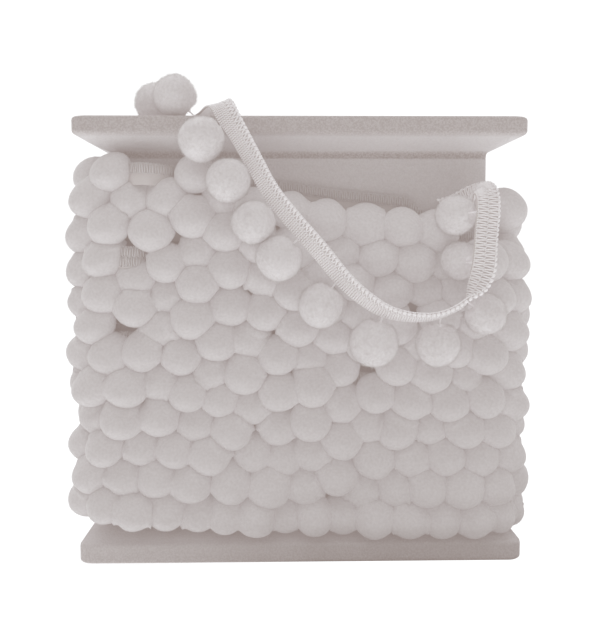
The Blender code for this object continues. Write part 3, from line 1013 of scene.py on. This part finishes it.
def foam_material():
    """Fine smooth foam, rougher and darker on the rims and at the joint under the top flange; part
    of that darkening is painted shade, strongest along the bottom rim's lower edge and in the
    joint's corner.
    """
    made, tree, shader = new_material("foam_looks", FOAM_LIGHT, 0.9)
    fine = add_noise(tree, 0.6, 4.0)
    cells = add_node(tree, "TexVoronoi", {"Scale": 1 / (FOAM_BEAD * MM), "Smoothness": 0.4},
                     {"Vector": add_place(tree)}, feature="SMOOTH_F1")
    add_bumps(tree, shader, ((cells.outputs["Distance"], 0.25, 0.5), (fine, 0.7, 0.4)))
    smooth = add_ramp(tree, fine, SHADE_SPAN, (FOAM_DARK, FOAM_LIGHT))
    # colours of rough foam, which where mixed in also stand for painted shade
    rough = add_ramp(tree, add_noise(tree, 0.45, 3.0), ROUGH_SPAN, (ROUGH_SHADED_DARK, ROUGH_SHADED_LIGHT))
    highest = FOAM_ROUGH_AND_SHADE[-1][0]
    height = add_node(tree, "Math", {1: 1 / (highest * MM)}, {0: add_axes(tree)["Z"]},
                      operation="MULTIPLY")
    # share of rough foam at each height, which also paints shade at the bottom rim, the joint and
    # the top rim
    rough_and_shade = add_ramp(tree, height.outputs["Value"], [at / highest for at, _ in FOAM_ROUGH_AND_SHADE],
                     [(share, share, share) for _, share in FOAM_ROUGH_AND_SHADE])
    mix = add_node(tree, "Mix", None, {"Factor": rough_and_shade, "A": smooth, "B": rough}, data_type="RGBA")
    tree.links.new(mix.outputs["Result"], shader.inputs["Base Color"])
    return made


def fibre_material(name, dark, light, glow, kind):
    """Fibres of a kind with a painted glow, their colour varied by the first of its noises."""
    roughness, others, layers = kind
    # painted glow: emission that stands in for light coming through the fibres
    sheen_and_painted_glow = {"Sheen Weight": 1.0, "Emission Color": PAINTED_GLOW_TINT, "Emission Strength": glow}
    made, tree, shader = new_material(name, light, roughness, {**sheen_and_painted_glow, **others})
    noises = [add_noise(tree, size, detail) for size, detail, _, _ in layers]
    add_bumps(tree, shader, [(noise, *layer[2:]) for noise, layer in zip(noises, layers)])
    colour = add_ramp(tree, noises[0], SHADE_SPAN, (dark, light))
    tree.links.new(colour, shader.inputs["Base Color"])
    return made


# A darker copy of the tape's yarn for its body: painted shade behind the threads
def shaded_inner_tape_material():
    made, tree, shader = new_material("inner_tape_shaded_looks", SHADED_INNER_YARN, 0.8)
    add_bumps(tree, shader, ((add_noise(tree, 0.3), 0.4, 0.15),))
    return made


# ---- camera, floor and light

def add_camera():
    data = bpy.data.cameras.new("camera")
    data.lens = LENS
    data.clip_start = 0.01
    made = add_object("camera", data)
    made.location = [value * MM for value in CAMERA_PLACE]
    made.rotation_euler = (math.radians(90 - CAMERA_PITCH), math.radians(CAMERA_ROLL),
                           math.radians(-CAMERA_YAW))
    bpy.context.scene.camera = made


def add_plate(name, left, right, half, height, material):
    """A level plate of the set, which isn't part of the object."""
    corners = ((left, -half), (right, -half), (right, half), (left, half))
    made = add_mesh(name, [(x, y, height) for x, y in corners], [(0, 1, 2, 3)], material)
    return made


def add_floor():
    """A pale floor that the light from below passes."""
    made, _, _ = new_material("floor_looks", (0.5, 0.5, 0.5), 0.8, {"Emission Strength": FLOOR_GLOW})
    floor = add_plate("floor", -FLOOR_HALF, FLOOR_HALF, FLOOR_HALF, -0.2, made)
    floor.visible_diffuse = False


def add_shade():
    """The part of the table under the spool, which light from below doesn't reach."""
    left, right, half = TABLE_SHADE
    made, tree, shader = new_material("table_shade_looks", (0.6, 0.6, 0.6), 0.9)
    thick = add_node(tree, "MapRange", {"From Min": left * MM, "From Max": SHADE_FULL * MM},
                     {"Value": add_axes(tree)["X"]})
    tree.links.new(thick.outputs["Result"], shader.inputs["Alpha"])
    shade = add_plate("table_shade", left, right, half, -0.1, made)
    shade.visible_camera = False


def add_area_light(name, place, size, power):
    data = bpy.data.lights.new(name, "AREA")
    data.shape = "RECTANGLE"
    data.size, data.size_y = size
    data.energy = power
    made = add_object(name, data)
    made.location = place
    way = np.subtract(LIT_POINT, place)
    flat = math.hypot(way[0], way[1])
    made.rotation_euler = (math.pi / 2 + math.atan2(way[2], flat), 0.0,
                           math.atan2(way[1], way[0]) - math.pi / 2)


def add_world():
    """A white studio: plain white behind the object, and glow for light, strongest from below."""
    world = bpy.data.worlds.new("studio")
    bpy.context.scene.world = world
    world.use_nodes = True
    tree = world.node_tree
    shown = tree.nodes["Background"]
    white = (1.0, 1.0, 1.0, 1.0)
    set_inputs(shown, {"Color": white, "Strength": WORLD_SHOWN})
    axes = add_axes(tree, "Generated")
    parts = []
    for axis, low, high, glow_low, glow_high in WORLD_GLOW:
        values = {"From Min": low, "From Max": high, "To Min": glow_low, "To Max": glow_high}
        part = add_node(tree, "MapRange", values, {"Value": axes[axis]},
                        interpolation_type="SMOOTHSTEP")
        parts.append(part.outputs["Result"])
    strength = parts[0]
    for part in parts[1:]:
        strength = add_node(tree, "Math", None, {0: strength, 1: part}).outputs["Value"]
    glow = add_node(tree, "Background", {"Color": white}, {"Strength": strength})
    seen = add_node(tree, "LightPath").outputs["Is Camera Ray"]
    mix = add_node(tree, "MixShader", None, {"Fac": seen, 1: glow.outputs["Background"],
                                             2: shown.outputs["Background"]})
    tree.links.new(mix.outputs["Shader"], tree.nodes["World Output"].inputs["Surface"])


def add_lights():
    add_world()
    for light in AREA_LIGHTS:
        add_area_light(*light)
    view = bpy.context.scene.view_settings
    view.view_transform = "Standard"
    view.use_curve_mapping = True
    view.curve_mapping.black_level = [-share for share in HAZE]


# ---- the object

def build_joints(material):
    """Foam that closes the joints between the core and the flanges."""
    place, out = wall_at(np.arange(0, ROUND_CORE, ARC / 4))
    right, back = np.tile(np.eye(3)[:2, None], (1, 2, 1))
    parts = []
    for heights in JOINTS:
        middles = np.array([(0.0, 0.0, height) for height in heights])
        parts.append(swept(middles, right, back, place - out * JOINT_DEPTH))
    return add_piece("joint_foam", parts, material, smooth=False)


def main():
    add_camera()
    add_floor()
    add_shade()
    add_lights()
    foam = foam_material()
    for name in ("spool_bottom_flange", "spool_core", "spool_top_flange"):
        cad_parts[name].material_slots[0].material = foam
    build_joints(foam)
    yarn = fibre_material("tape_looks", *LOOSE_YARN, YARN)
    shaded_inner_yarn = shaded_inner_tape_material()
    tape, body, middles, lengths = build_tape(yarn, shaded_inner_yarn)
    stems = build_stems(yarn)
    along, wound, root = wound_pompoms()
    loose = build_loose_pompoms(fibre_material("pompom_looks", *LOOSE_PILE, PILE), wound)
    # darker copy of the pompoms' pile, painted shade, with a stronger painted glow
    shaded_wound_pile = fibre_material("wound_pompom_shaded_looks", *SHADED_WOUND_PILE, PILE)
    pieces = build_wound_pompoms(shaded_wound_pile, along, wound, root)
    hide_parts("wound_trim")
    # darker copy of the tape's yarn, painted shade
    shaded_wound_yarn = fibre_material("wound_tape_shaded_looks", *SHADED_WOUND_YARN, YARN)
    build_wound_tape(shaded_wound_yarn, shaded_inner_yarn, wound, root)


main()
